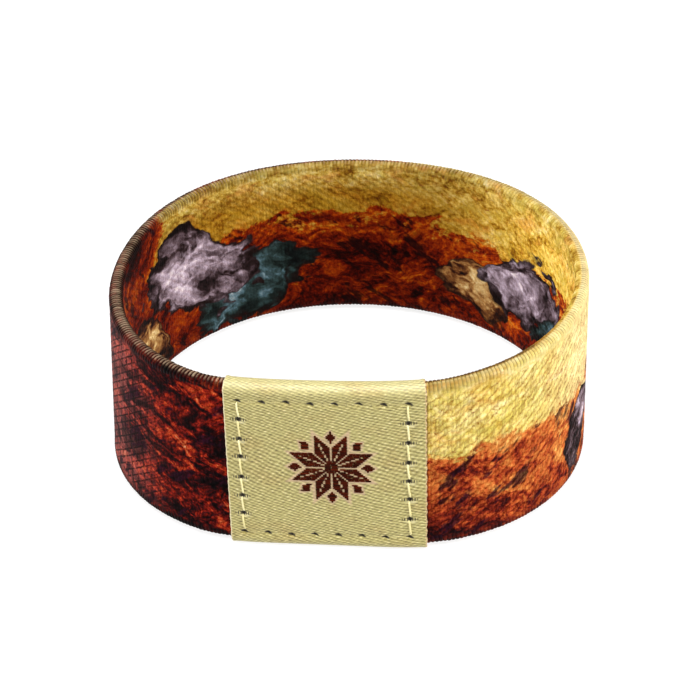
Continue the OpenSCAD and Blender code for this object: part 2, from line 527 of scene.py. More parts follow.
def makePicture():
    group, (place,), outs = newGroup("printedPicture", {"Vector": "Place"}, {"Color": "Color"})
    along, up, side = split(place)
    isOutside = 1 - side
    straight = place * (1, 1, picture["seam"])
    # Everything is drawn on a place that is pushed about, so that the layers swirl.
    push = pushed(straight, *picture["push"])
    apart = straight + push
    swell, ragged, mottle, hue, veins, lobes = (
        noise(apart, *picture[name]) for name in ("swell", "ragged", "mottle", "hue", "veins", "lobes")
    )
    grit, flecks = (noise(straight, *picture[name]) for name in ("grit", "flecks"))
    strokes = noise(rotated(apart, math.radians(picture["strokeTilt"])), *picture["strokes"])
    blots = noise(rotated(straight, math.radians(picture["blotTilt"])), *picture["blots"])
    layer = (up + centred(swell, 14.0) + centred(ragged, 6.0)) / totalHeight
    isLeft = ranged(along, *picture["turns"])
    outside = mixValue(isLeft, ramp(layer, picture["right"]), ramp(layer, picture["left"]))
    isFarInside = ranged(along, *picture["insideTurns"])
    inside = mixValue(isFarInside, ramp(layer, picture["inside"]), ramp(layer, picture["insideLeft"]))
    tone = mixValue(side, outside, inside)
    isGold = tone + centred(ragged, 0.40) + centred(grit, 0.30)
    # The rust is painted roughly and the gold finely.
    brush = centred(mottle, 1.35) + centred(strokes, 0.85) + centred(grit, 0.70)
    rustTone = tone * 1.25 + (brush + 0.06)
    amberTone = tone * 1.10 + brush * 0.90 + ranged(along, *picture["amberLightens"], 0.07, 0.21)
    crimson = ramp(brush * 0.45 + (rustTone + 0.06), picture["crimson"])
    # On the far left a rose tint is painted in: painted sheen where the face turns away from view.
    roseSheen = during(along, *picture["roseSheen"]) * ranged(mottle, 0.36, 0.60, 0.05, 0.50)
    outsideRust = mixColor(isLeft, ramp(amberTone, picture["amber"]), mixColor(roseSheen, crimson, "a05a54"))
    rust = mixColor(side, outsideRust, ramp(rustTone, picture["rust"]))
    fine = centred(strokes, 0.25) + centred(grit, mixValue(side, 0.70, 1.60))
    goldTone = tone * 0.40 + centred(mottle, mixValue(side, 1.45, 1.9)) + fine
    gold = ramp(goldTone + mixValue(side, 0.30, 0.24), picture["gold"])
    gold = mixColor(ranged(hue, 0.50, 0.64, 0.0, 0.45), gold, "b7ad50")
    gold = mixColor(ranged(hue, 0.48, 0.34, 0.0, 0.55), gold, "d09c54")
    # Towards the right side the gold is mixed paler: partly the print, partly a painted highlight where the
    # side light washes it out.
    gold = mixColor(during(along, *picture["pale"]) * isOutside * 0.45, gold, "f1e0b4")
    # Towards the right of the inside the gold is divided by a grey, which lightens it: painted light where
    # the inner wall gets too little.
    gold = mixColor(ranged(along, *picture["insidePale"]) * side, gold, "dadbd7", "DIVIDE")
    color = mixColor(ranged(isGold, mixValue(side, 0.41, 0.44), 0.54), rust, gold)
    # Dark blots in the rust, red flecks in the gold, veins in both
    isBlot = ranged(blots, 0.54, 0.62) * ranged(isGold, 0.50, 0.42)
    color = mixColor(isBlot * 0.88, color, "1c0614")
    isFleck = ranged(flecks, 0.60, 0.70) * ranged(blots, 0.44, 0.60) * ranged(isGold, 0.42, 0.52)
    color = mixColor(isFleck * 0.75, color, "8a4a1c")
    isVein = ranged(calc("ABSOLUTE", veins - 0.5), 0.020, 0.002) * ranged(isGold, 0.66, 0.46, 0.20, 0.70)
    color = mixColor(isVein * mixValue(side, 0.26, 0.50), color, "2a0c08")
    # The inside is painted darker, as shade within the loop, most of all away from its top edge.
    tint = mixColor(ranged(along, *picture["tintTurns"]), "fff0bc", "ba9a54")
    color = mixColor(ranged(up, 25.0, 20.0, 0.35, 1.0) * side, color, tint, "MULTIPLY")
    podShape = makePodShape()
    podPlace = place + push * picture["podSway"]
    edge = centred(lobes, 1.7) + centred(ragged, 0.35)
    rough = centred(mottle, 1.0) + centred(grit, 0.9)
    for podAlong, podUp, halfAlong, halfUp, tilt, face, palette in picture["pods"]:
        pod = useGroup(podShape, {
            "Place": podPlace, "Middle": (podAlong, podUp, face),
            "Half": (halfAlong, halfUp, picture["podDepth"]), "Tilt": math.radians(-tilt),
            "Ragged": edge, "Rough": rough,
        })
        inner = mixColor(pod["Outline"] * 0.9, ramp(pod["Tone"], picture[palette]), "160a08")
        color = mixColor(pod["Mask"], color, inner)
    put(outs["Color"], color)
    return group


# Fine fibres: a height for bump and a share that lightens or darkens the yarn
def makeFibres():
    group, (place, run), outs = newGroup("yarnFibres", {"Vector": "Place Run"}, {"Float": "Height Shade"})
    fibres = noise(place, run, 3, 0.6)
    patches = noise(place, (0.8, 0.8, 0.8), 2, 0.5)
    put(outs["Height"], fibres)
    put(outs["Shade"], centred(fibres, 0.7) + (centred(patches, 0.25) + 1.0))
    return group


# The floats of the elastic's weave at a place: how high the cloth stands, where it has a gap, the thin lines
# of painted shade between its floats, and a chance value for each float
def makeWeave():
    group, (place,), outs = newGroup("wovenFloats", {"Vector": "Place"}, {"Float": "Height Gap Grid Luck"})
    sway = pushed(place, (1.25, 1.25, 3.0), 2, 0.5, (0.90, 1.30, 0.0))
    along, up, side = split(place + sway)
    x = along / floats["pick"]
    y = up / floats["rise"] - x / 3
    row = calc("ROUND", y)
    above = y - row
    leaning = x - above * floats["tilt"]
    column = calc("ROUND", leaning)
    aside = leaning - column
    luck = outputOf("ShaderNodeTexWhiteNoise", {"Vector": joined(column, row, side)}, "Value")
    halfWide, halfTall = floats["half"]
    reach = reachOf(joined(aside / halfWide, above / halfTall)) / (luck * 0.45 + 0.82)
    weaveNoise = noise(place, (1.1, 1.4, 5.0), 3, 0.65)
    spots = noise(place, (2.1, 1.3, 7.0), 2, 0.6)
    put(outs["Height"], ranged(reach, 0.10, 1.25, 1.0, 0.0) + centred(weaveNoise, 1.3))
    put(outs["Luck"], luck)
    # Between one float and the next of a column there is a gap, which the material darkens as painted shade;
    # it is wider in some places than in others.
    gap = ranged(0.5 - calc("ABSOLUTE", above), 0.0, 0.25, 1.0, 0.0)
    gap = gap * ranged(calc("ABSOLUTE", aside), 0.10, 0.42, 1.0, 0.0)
    put(outs["Gap"], gap * ranged(spots, 0.52, 0.42))
    # Thin lines of painted shade show between every row of floats and every third column, where the noise
    # lets them.
    along, up, _ = split(sway * (0.30, 0.22, 0.0) + place)
    x, y = along / (3 * floats["pick"]), up / floats["rise"]
    awayX, awayY = (calc("ABSOLUTE", calc("FRACT", share) - 0.5) for share in (x, y - x))
    upright = ranged(awayX, 0.32, 0.45) * ranged(weaveNoise, 0.62, 0.40)
    level = ranged(awayY, 0.30, 0.45) * ranged(weaveNoise, 0.36, 0.50)
    put(outs["Grid"], calc("MAXIMUM", upright, level))
    return group


# How dark the cloth is about a hole of the seam, as painted shade in the hole, and where it is lighter.
# Place is measured from the hole. On the sides a hole is tall, with ticks of painted shade beside it where
# the threads are pushed apart. In the rows it is a slanted dash.
def makeSewingHoles():
    group, (place,), outs = newGroup("sewingHoles", {"Vector": "Place"}, {"Float": "Dark Light"})
    x, y, onSide = split(place)

    def oval(dx, dy, halfX, halfY):
        return reachOf(joined(dx / halfX, dy / halfY))

    tall = ranged(oval(x, y, 0.29, 0.40), 1.15, 0.75)
    tick = calc("COSINE", x * (fullTurn / 0.33))
    tick = ranged(tick, -0.4, 0.4) * ranged(oval(x, y, 1.30, 0.34), 1.15, 0.6)
    dash = ranged(oval(x, x * 0.26 + y, 0.54, 0.20), 1.15, 0.70)
    put(outs["Dark"], mixValue(onSide, dash, calc("MAXIMUM", tall, tick * 0.9)))
    put(outs["Light"], ranged(oval(x - 0.15, y + 0.42, 0.85, 0.32), 1.2, 0.3) * onSide)
    return group


pictureGroup = makePicture()
fibreGroup = makeFibres()


def printedElasticMaterial():
    material, shader = newMaterial("printedElastic", {
        "Roughness": 0.7, "Specular IOR Level": 0.03,
        "Sheen Weight": 0.02, "Sheen Roughness": 0.25, "Sheen Tint": (1.0, 0.90, 0.90, 1),
    })
    place = readValue(shader, "clothPlace", "Vector")
    faceShare = readValue(shader, "faceShare")
    along, _, side = split(place)
    isOutside = 1 - side
    color = useGroup(pictureGroup, {"Place": place})["Color"]
    fibres = useGroup(fibreGroup, {"Place": place, "Run": (6.5, 4.0, 9.0)})
    weave = useGroup(makeWeave(), {"Place": place})
    gridStretch = during(along, *floats["gridStretch"]) * isOutside
    height = mixValue(gridStretch * 0.55, weave["Height"], 1 - weave["Grid"])
    height = mixValue(faceShare, 0.45, height)
    gap = weave["Gap"] * faceShare * ranged(gridStretch, 0.0, 1.0, 1.0, 0.2)
    luck = centred(weave["Luck"], mixValue(side, 0.30, 0.18)) * faceShare
    # Between the floats the colour is painted deeper and warmer, as shade, and the float tops are painted
    # lighter, as highlight, most of all where the print is dark. The inside is woven flatter.
    dim = ranged(outputOf("ShaderNodeRGBToBW", {"Color": color}), 0.22, 0.05) * isOutside
    most = mixValue(side, 0.60, 0.26) + dim * 0.30
    gapShade = ranged(height, 0.9, 0.0, 0.0, most, smooth=False) + gap * most * 0.9
    between = mixColor(1.0, color, "ad8358", "MULTIPLY")
    color = mixColor(gapShade, shaded(color, dim * 0.30 + 1.10), between)
    # On the far-left stretch the grid's thin lines are painted in as shade between the floats.
    color = mixColor(gridStretch * weave["Grid"] * faceShare * 0.90, color, "120504")
    # Under the edge loops the cloth is painted darker, as shade.
    edgeShade = mixValue(side, 0.42, 0.65)
    color = shaded(color, ranged(readValue(shader, "fromEdge"), 0.35, 1.25, edgeShade, 1.0))
    relief = fibres["Height"] * 0.30 + height * 0.75 - gap * 0.15
    finishShader(shader, shaded(color, (luck + 1.0) * fibres["Shade"]), relief, 0.10 * mm, 0.7)
    return material


def rimYarnMaterial():
    material, shader = newMaterial("rimYarn", {
        "Roughness": 0.6, "Specular IOR Level": 0.06, "Sheen Weight": 0.02, "Sheen Roughness": 0.3,
    })
    place = readValue(shader, "clothPlace", "Vector")
    shade = readValue(shader, "yarnShade")
    shoulder = readValue(shader, "shoulderShare")
    color = useGroup(pictureGroup, {"Place": place})["Color"]
    fibres = useGroup(fibreGroup, {"Place": place, "Run": (12.0, 2.0, 12.0)})
    bare = ramp(shade, ((0, "0e0704"), (0.35, "342418"), (0.65, "6b5744"), (1, "a69277")))
    bare = mixColor(0.20, bare, color)
    color = mixColor(readValue(shader, "printShare"), bare, shaded(color, 0.98))
    # The painted shadow in the shoulder, on the print's ink, is amber beside the label and dark brown
    # further round.
    brownShadeShare = calc("MAXIMUM", ranged(split(place)[0], 26, 60), ranged(shoulder, 0.91, 0.99))
    color = mixColor(shoulder * 0.86, color, mixColor(brownShadeShare, "a4700c", "5a3418"), "MULTIPLY")
    # Here the painted shade of the yarn's flanks darkens it again.
    color = shaded(color, fibres["Shade"] * ranged(shade, 0, 1, 0.80, 1.05))
    finishShader(shader, color, fibres["Height"], 0.03 * mm, 0.5)
    return material


# The label's satin twill: lines that fall to the right, cut into floats. All in turns per mm. The lines
# lie further apart about the emblem, where its extra threads take up room.
twill = {
    "along": 0.70, "alongFalls": 0.016,
    "up": 2.33, "upAtStar": 1.57,
    "starUp": 13.3, "starHalf": 5.0,
    "cut": (1.35, -0.70),      # of the cuts, the second in turns for each turn of the lines' height
    "depth": 0.012,
    "notchPitch": 0.71,        # mm between the dark notches of the right edge
    "colors": ((0, "5c5229"), (0.25, "8a7f46"), (0.50, "aa9f5f"), (0.78, "c8bd7a"), (1, "efe6ae")),
}


def labelMaterial():
    material, shader = newMaterial("wovenLabel", {
        "Roughness": 0.42, "Specular IOR Level": 0.5, "Sheen Weight": 0.06, "Sheen Roughness": 0.35,
    })
    place = readValue(shader, "clothPlace", "Vector")
    lines, cuts, _ = split(readValue(shader, "twillTurns", "Vector"))
    across, upward, _ = split(place)
    edge = readValue(shader, "edgeShare")
    wander = centred(noise(place, (0.6, 0.6, 0.6), 3, 0.6), 1.0)
    line, cut = (calc("COSINE", (turns + wander) * fullTurn) for turns in (lines, cuts))
    fray = noise(place, (1.5, 4.6, 1.0), 3, 0.6)
    # The twill's colour follows its relief: the weave's pattern, with painted shade in its lines and painted
    # highlight on its floats.
    height = line * 0.22 + (cut * 0.10 + 0.5) + centred(fray, 1.3)
    # Towards the top fold it is painted lighter: a painted highlight where the fold meets the light from
    # above.
    color = mixColor(ranged(upward, 24.2, 25.6, 0.0, 0.24), ramp(height, twill["colors"]), "efe7bb")
    tint = noise(place, (0.16, 0.22, 0.2), 2, 0.5)
    color = mixColor(ranged(tint, 0.48, 0.70, 0.0, 0.30), color, "eac9a6", "MULTIPLY")
    color = mixColor(readValue(shader, "starHalo") * 0.75, color, "cda78c")
    onRight = ranged(across, 2.0, 6.0)
    color = mixColor(ranged(edge, 0.60, 0.90, 0.0, 0.70), color, mixColor(onRight, "eadbb2", "c7a67a"))
    # Along the right edge, dark notches are painted in as broken lines of shadow.
    notchShadow = calc("SINE", upward * (fullTurn / twill["notchPitch"]) + centred(fray, 5.0))
    notchShadow = ranged(notchShadow, 0.1, 0.7) * ranged(edge, 0.80, 0.95) * ranged(onRight, 0.0, 1.0, 0.25, 1.0)
    color = mixColor(notchShadow * 0.75, color, "4a2f1c")
    # The seam's holes are darkened with painted shade.
    holes = useGroup(makeSewingHoles(), {"Place": readValue(shader, "fromHole", "Vector")})
    color = mixColor(holes["Light"] * 0.45, color, "efe6b4")
    finishShader(shader, mixColor(holes["Dark"], color, "241904"), height, 0.05 * mm, 0.7)
    return material


# Sewn and inlaid threads: colours from dark to light, how the fibres run, and how much it shines
brownThread = ((0, "240800"), (0.5, "3c0e01"), (1, "561902")), (5.0, 5.0, 14.0), 0.05
sewingThread = ((0, "a89c64"), (0.5, "e4d99c"), (1, "f7f0c0")), (9.0, 9.0, 3.0), 0.3


def threadMaterial(name, colors, run, shine):
    material, shader = newMaterial(name, {"Roughness": 0.55, "Specular IOR Level": shine})
    place = readValue(shader, "clothPlace", "Vector")
    fibres = useGroup(fibreGroup, {"Place": place, "Run": run})
    color = shaded(ramp(readValue(shader, "yarnShade"), colors), fibres["Shade"])
    finishShader(shader, color, fibres["Height"], 0.03 * mm, 0.5)
    return material


print("materials are ready")


# Meshes

# The faces of a grid whose columns go round, and the row and the column of each face's corners
def gridFaces(rows, columns):
    row, column = np.divmod(np.arange((rows - 1) * columns)[:, None], columns)
    row, column = row + (0, 0, 1, 1), column + (0, 1, 1, 0)
    return row * columns + column % columns, row, column


# A piece from points in mm. cornerUv holds each corner's place on the piece's map, in the faces' order.
def addPiece(name, points, faces, material, values, cornerUv):
    mesh = bpy.data.meshes.new(name)
    mesh.from_pydata((points.reshape(-1, 3) * mm).tolist(), [], faces)
    for label, data in values.items():
        isVector = data.ndim == points.ndim
        data = np.broadcast_to(data, points.shape if isVector else points.shape[:-1])
        attribute = mesh.attributes.new(label, "FLOAT_VECTOR" if isVector else "FLOAT", "POINT")
        attribute.data.foreach_set("vector" if isVector else "value", data.astype(np.float32).ravel())
    layer = mesh.uv_layers.new(name="OFBake")
    layer.data.foreach_set("uv", cornerUv.astype(np.float32).ravel())
    mesh.polygons.foreach_set("use_smooth", [True] * len(mesh.polygons))
    mesh.materials.append(material)
    mesh.update()
    piece = newObject(name, mesh)
    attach(piece, "root")
    print(name + ":", sum(len(face.vertices) - 2 for face in mesh.polygons), "triangles")
    return piece


bumpChance = chance.normal(0, 1, (512, 64))


# How high the woven floats stand in the mesh
def weaveAt(along, up):
    y = up / floats["rise"] - along / floats["pick"] / 3
    row = np.round(y)
    above = y - row
    leaning = along / floats["pick"] - floats["tilt"] * above
    column = np.round(leaning)
    columns, rows = bumpChance.shape
    luck = bumpChance[column.astype(int) % columns, row.astype(int) % rows]
    reach = np.hypot((leaning - column) / floats["half"][0], above / floats["half"][1])
    (top, slope), (height, heightLuck) = floats["dome"], floats["height"]
    bulge = 0.5 + 0.5 * np.cos(np.pi * np.clip((reach - top) / slope, 0, 1))
    return bulge * (height + heightLuck * luck)


def elasticStations():
    begin, full = (labelHalf + past for past in elastic["shoulder"])
    hidden = np.linspace(elastic["endGap"], labelHalf - elastic["hiddenMargin"], elastic["hiddenSteps"])
    shown = np.linspace(full, loopLength - full, round((loopLength - 2 * full) / elastic["step"]) + 1)
    return np.concatenate([hidden, [begin], shown, [loopLength - begin], loopLength - hidden[::-1]])


# The map of a face, which lies on it in three strips, one above the other
def stripUv(along, up):
    third, tall, margin = loopLength / 3, elastic["stripHeight"], elastic["stripMargin"]
    strip = np.clip(np.floor(along.mean(1, keepdims=True) / third), 0, 2)
    return np.stack([along - strip * third + margin, strip * tall + up + margin], -1) / (3 * tall)


def elasticFace(name, side, material):
    stations = elasticStations()
    corner, backGap = elastic["corner"], elastic["backGap"]
    shoulder = labelHalf + np.mean(elastic["shoulder"])
    isOpen = ((stations > shoulder) & (stations < loopLength - shoulder)).astype(float)[:, None]
    face, low, high = (a + (b - a) * isOpen for a, b in zip(elastic["squeezed"], elastic["open"]))
    # The profile is a rounded edge, the flat face, and the other rounded edge.
    turn = np.linspace(0, 1, elastic["cornerQuads"] + 1) * math.pi / 2
    rise = corner * (1 - np.cos(turn))
    flat = np.linspace(0, 1, elastic["flatQuads"] + 1)[1:-1]
    flatUp = (low + corner) + (high - low - 2 * corner) * flat
    up = np.concatenate([low + rise, flatUp, high - rise[::-1]], 1)
    edgeOut = backGap + (face - backGap) * np.sin(turn)
    out = np.concatenate([edgeOut, np.repeat(face, len(flat), 1), edgeOut[:, ::-1]], 1)
    along = np.repeat(stations[:, None], up.shape[1], 1)
    fromEdge = np.minimum(up - elastic["open"][1], elastic["open"][2] - up)
    faceShare = np.interp(fromEdge, elastic["woven"], (0, 1)) * isOpen
    gridStretch = np.interp(along, floats["gridStretch"], (0, 1, 1, 0)) * (side > 0)
    out = out + floats["relief"] * weaveAt(along, up) * faceShare * (1 - (1 - floats["gridStretchRelief"]) * gridStretch)
    fromLabel = np.maximum(np.minimum(along, loopLength - along) - labelHalf, 0)
    slant = loopForm["labelSlant"] * (up / totalHeight - 0.5) * np.exp(-fromLabel / elastic["slantFades"])
    points = loopPoint(along + slant, side * out, up)
    rows, columns = along.shape
    faces, _, column = gridFaces(rows, columns)
    cornerAlong, cornerUp = along.ravel()[faces], up.ravel()[faces]
    uv = stripUv(cornerAlong, cornerUp)
    # The plain back of the face gets a thin strip of its own beside the front.
    isBack = column[:, 0] == columns - 1
    uv[isBack, :, 0] = np.where(cornerUp[isBack] > totalHeight / 2, *elastic["backStrips"])
    uv[isBack, :, 1] = np.interp(cornerAlong[isBack], (0, loopLength), elastic["backSpan"])
    first, last = np.arange(columns), np.arange(columns) + (rows - 1) * columns
    if side > 0:
        faces, uv, last = faces[:, ::-1], uv[:, ::-1], last[::-1]
    else:
        first = first[::-1]
    uv = np.concatenate([uv.reshape(-1, 2), np.full((2 * columns, 2), elastic["endSpot"])])
    place = np.stack(np.broadcast_arrays(along, up, float(side < 0)), -1)
    values = {"clothPlace": place, "faceShare": faceShare, "fromEdge": fromEdge}
    return addPiece(name, points, faces.tolist() + [first.tolist(), last.tolist()], material, values, uv)


# The skin of yarns along lines of points, from their half widths and two directions across them, which
# turn right-handed about the line
def yarnSkin(lines, wide, thick, halfWidths, sides):
    around = np.linspace(0, fullTurn, sides, endpoint=False)[:, None]
    ring = np.cos(around) * wide[:, :, None] + np.sin(around) * thick[:, :, None]
    return lines[:, :, None] + ring * halfWidths[..., None, None]


# Shares of each yarn's own cell of the map: where it begins, its length and width, and where its ends lie
yarnCell = {"start": 0.05, "size": (0.90, 0.85), "ends": (0.06, 0.97)}


# Yarns as one piece, from points numbered by yarn, by step along it and round it
def addYarns(name, points, material, values):
    count, steps, sides = points.shape[:3]
    quads, step, turn = gridFaces(steps, sides)
    ends = np.stack([np.arange(sides)[::-1], np.arange(sides) + (steps - 1) * sides])
    start = (np.arange(count) * steps * sides)[:, None, None]
    faces = (quads + start).reshape(-1, 4).tolist() + (ends + start).reshape(-1, sides).tolist()
    cells = math.ceil(math.sqrt(count))
    cell = np.stack([np.arange(count) % cells, np.arange(count) // cells], -1)[:, None, None]
    share = np.stack([step / (steps - 1), turn / sides], -1)
    uv = (cell + yarnCell["start"] + share * yarnCell["size"]) / cells
    endUv = np.repeat((cell + yarnCell["ends"]) / cells, 2 * sides, 1)
    uv = np.concatenate([uv.reshape(-1, 2), endUv.reshape(-1, 2)])
    return addPiece(name, points, faces, material, values, uv)


# The woven edges: a row of yarn loops that bind each edge from face to face

edgeLoops = {
    "yarn": 0.225,          # half its width
    "thick": ((30, 50), (1.17, 1)),        # how much wider it is: places along the elastic, and shares
    "flatness": 0.55,
    "sink": 0.05,           # how deep its middle lies under the edge, and under the face
    "legSink": 0.08,
    "sides": 8,
    "labelGap": 0.25,
    "slant": 0.16,          # mm along from the top of a loop to the foot of its leg
    # Chance changes of its lean, width, height, the length of its legs, its place along and its shade
    "luck": {"lean": 0.03, "yarn": 0.06, "lift": 0.012, "legs": 0.14, "along": 0.012, "shade": 0.10},
    # How much of the print shows on the crest: places along the elastic, and shares
    "printed": ((0, 22, 38, 52, 66, 112, 124, 203), (0.35, 0.50, 0.80, 0.70, 0.40, 0.35, 0.10, 0.05)),
    "printedBottom": 0.35,
    "bareWidth": 0.17,      # of the crest where none of it shows
    "shade": 0.90,
    "flanks": ((0, 30, 45, 110, 130), (0.06, 0.12, 0.22, 0.35, 0.55)),     # how much darker its sides are painted, as shade
    # The dark shoulder under the crest, painted shade on the print's ink, by its depth in mm, and how dark
    # it is along the outside
    "shoulder": ((0.06, 0.15, 0.85, 1.3, 1.7), (0.3, 1.0, 0.95, 0.55, 0.2)),
    "outerDark": ((0, 16, 21, 28, 45, 70, 110, 130), (0.95, 0.85, 0.60, 0.25, 0.10, 0.40, 0.60, 1.0)),
    "insideShoulder": 0.2,
    "faint": ((22, 40), (0.75, 0)),        # how much of it is gone at the foot of a leg, by place
    # How dark the inner side of the crest is, and how far from its middle that begins
    "innerDark": ((0, 30, 45, 110, 130, 203), (1.1, 1.0, 0.1, 0.3, 0.8, 0.8)),
    "innerReach": ((0, 30, 45), (-0.16, -0.12, 0.40)),
    # Round the edge in degrees from its very top, then the legs' heights below that
    "turns": (0, 16, 32, 48, 64, 80, 90),
    "legs": (1.1, 1.4, 1.7),
    "legTop": 0.85,
    "taper": (0.4, 1, 1, 0.4),             # of its width, over two steps at each end
}


def makeEdgeLoops(name, top, material):
    face, low, high = elastic["open"]
    sink, luck, sides = edgeLoops["sink"], edgeLoops["luck"], edgeLoops["sides"]
    turns, legs = np.radians(edgeLoops["turns"]), np.array(edgeLoops["legs"])
    drop = elastic["corner"] - sink
    half = np.concatenate([
        np.stack([(face - sink) * np.sin(turns), sink + drop * (1 - np.cos(turns))], 1),
        np.stack([np.full(len(legs), face - edgeLoops["legSink"]), legs], 1),
    ])[::-1]
    out, depth = np.concatenate([half, half[-2::-1] * (-1, 1)]).T
    steps = len(out)
    start = labelHalf + edgeLoops["labelGap"]
    first = math.ceil(start / floats["pick"])
    count = int((loopLength - start) / floats["pick"]) - first + 1
    base = (first + np.arange(count))[:, None] * floats["pick"]
    lean = edgeLoops["slant"] + chance.normal(0, luck["lean"], (count, 1))
    yarn = np.interp(base, *edgeLoops["thick"]) + chance.normal(0, luck["yarn"], (count, 1))
    lift = chance.normal(0, luck["lift"], (count, 1))
    stretch = 1 + luck["legs"] * chance.normal(0, 1, (count, 1)).clip(-1.5, 1.5)
    along = base + lean * np.linspace(-1, 1, steps) + chance.normal(0, luck["along"], (count, steps))
    legTop = edgeLoops["legTop"]
    below = np.where(depth > legTop, legTop + (depth - legTop) * stretch, depth) - lift * (depth < 0.5)
    up = high - below if top else low + below
    middle = loopPoint(along, out, up)
    ahead = unit(loopPoint(along + 0.05, out, up) - middle)
    away = np.cross(unit(np.gradient(middle, axis=1)), ahead)
    taper = edgeLoops["yarn"] * np.interp(np.arange(steps), (0, 2, steps - 3, steps - 1), edgeLoops["taper"])
    points = yarnSkin(middle, ahead, edgeLoops["flatness"] * away, yarn * taper, sides)
    crest = np.interp(base, *edgeLoops["printed"]) if top else edgeLoops["printedBottom"]
    bare = edgeLoops["bareWidth"] * (1 - crest)
    printShare = crest + (1 - crest) * np.clip((below - 0.05 - bare * 0.6) / (0.12 + bare), 0, 1)
    shoulder = np.interp(below - 0.5 * bare, *edgeLoops["shoulder"]) * np.clip(2.5 * printShare, 0, 1)
    outerDark = np.interp(base, *edgeLoops["outerDark"])
    shoulder = shoulder * np.where(out < 0, edgeLoops["insideShoulder"], outerDark)
    shoulder = shoulder * (1 - np.interp(base, *edgeLoops["faint"]) * np.clip((below - 0.3) / 0.9, 0, 1))
    if top:
        reach = np.interp(base, *edgeLoops["innerReach"])
        inner = np.clip((-out - reach) / 0.12, 0, 1) * np.interp(below, (0.6, 1.3), (1, 0))
        shoulder = np.maximum(shoulder, inner * np.interp(base, *edgeLoops["innerDark"]))
    # The yarn's flanks are painted darker than its back, as shade.
    around = np.linspace(0, fullTurn, sides, endpoint=False)
    flank = np.interp(base, *edgeLoops["flanks"])[:, :, None] * np.abs(np.cos(around))
    shade = edgeLoops["shade"] + luck["shade"] * chance.normal(0, 1, (count, 1, 1)) - flank
    isInside = (out < 0).astype(float)[:, None]
    values = {
        "clothPlace": np.stack(np.broadcast_arrays(along[:, :, None], up[:, :, None], isInside), -1),
        "printShare": printShare[:, :, None], "shoulderShare": shoulder[:, :, None],
        "yarnShade": shade.clip(0, 1),
    }
    return addYarns(name, points, material, values)


# The label: a woven ribbon folded round the elastic, its ends butted inside at half height

label = {
    "cloth": 0.40,            # thickness
    "front": 1.55, "back": -1.35,    # of its outside, out from the loop's middle line
    "fold": loopForm["labelFold"],
    "frontStep": 0.080, "foldStep": 0.12, "backStep": 0.30,
    "columns": 150,
    "innerColumns": 6,
    "seamGap": 0.05,
    "round": (0.3, 0.7),      # shares of its thickness where its rounded side stands out
    "edgeOut": 0.05,
    "scallop": (0.05, 1.42),  # of the side edges: depth and pitch
    "leftScallop": 0.4,       # the share of it on the left edge
    "halo": (0.1, 0.35),      # how far outside the star its shadow is darkest, and how far it goes
    "starHeight": 0.25,       # of the twill under the star
    "bead": 0.06,             # how much thicker the side edges are
    "beadPlace": 0.2,         # how far from the edge that is most, and how soon it fades
    "edgeWide": 0.55,         # of the woven selvedge
    "ringMap": (0.78, 0.95),  # where the front and the whole ring end on the map
    "mapTop": 0.97, "endSpot": 0.99,
}
seam = {
    "left": -11.1, "right": 10.75, "bottom": 2.3, "top": 23.4,
    "sideStitches": 7, "rowStitches": 7,
    "sideLuck": {"left": (0.04, 0.12), "right": (0.06, 0.12)},     # chance places of the holes, in mm
    "rowLuck": 0.08,
    "hole": 0.42,             # reach of the hollow about a hole
    "holeDepth": 0.36,
    "pull": 0.08,             # how deep the seam pulls the ribbon in, and how far from its line
    "pullReach": 0.55,
    "drift": 0.13,            # how far a side stitch starts to the left of its hole and ends to the right
    "bow": 0.05,
    "flatness": 0.8,
    # Half width, tone and how much deeper it lies: a stitch of the sides, of the rows, and on the inside
    # The sides' light tone and the rows' dark tone are one thread painted as lit and shaded: painted
    # highlight and painted shade.
    "side": (0.135, 0.62, 0.0), "row": (0.085, 0.12, 0.12), "inside": (0.135, 0.62, -0.04),
    "toneLuck": 0.12,
    # Shares of the way from hole to hole, and how high the thread lies there
    "share": (0.075, 0.10, 0.13, 0.18, 0.30, 0.5, 0.70, 0.82, 0.87, 0.90, 0.925),
    "dive": (-0.50, -0.34, -0.10, 0.04, 0.08, 0.10, 0.08, 0.04, -0.10, -0.34, -0.50),
}
star = {
    "middle": (0.7, 13.4),
    "reach": 6.0,
    "gap": 0.22,              # between the petals
    "slit": (0.09, 0.725),    # half its width along the middle of a petal, and how far out it goes
    "heart": 0.95,            # radius of the filled middle
    "diamond": (0.80, 0.75, 0.8, 1.1),     # its place as a share of the reach, its size, and its two slopes
    "row": 0.25,              # pitch of the brown threads, and of the steps of the outline
    "thread": 0.13,
    "flatness": 0.55,
    "float": 0.85,            # length of a thread before it dives under, and its chance change
    "floatLuck": 0.08,
    "leastFloat": 0.12,
    # Shares of a float, and how full the thread is there
    "share": (0, 0.12, 0.35, 0.65, 0.88, 1),
    "swell": (0.55, 0.9, 1, 1, 0.9, 0.55),
    "lift": 0.035,            # how much higher the full thread lies
}


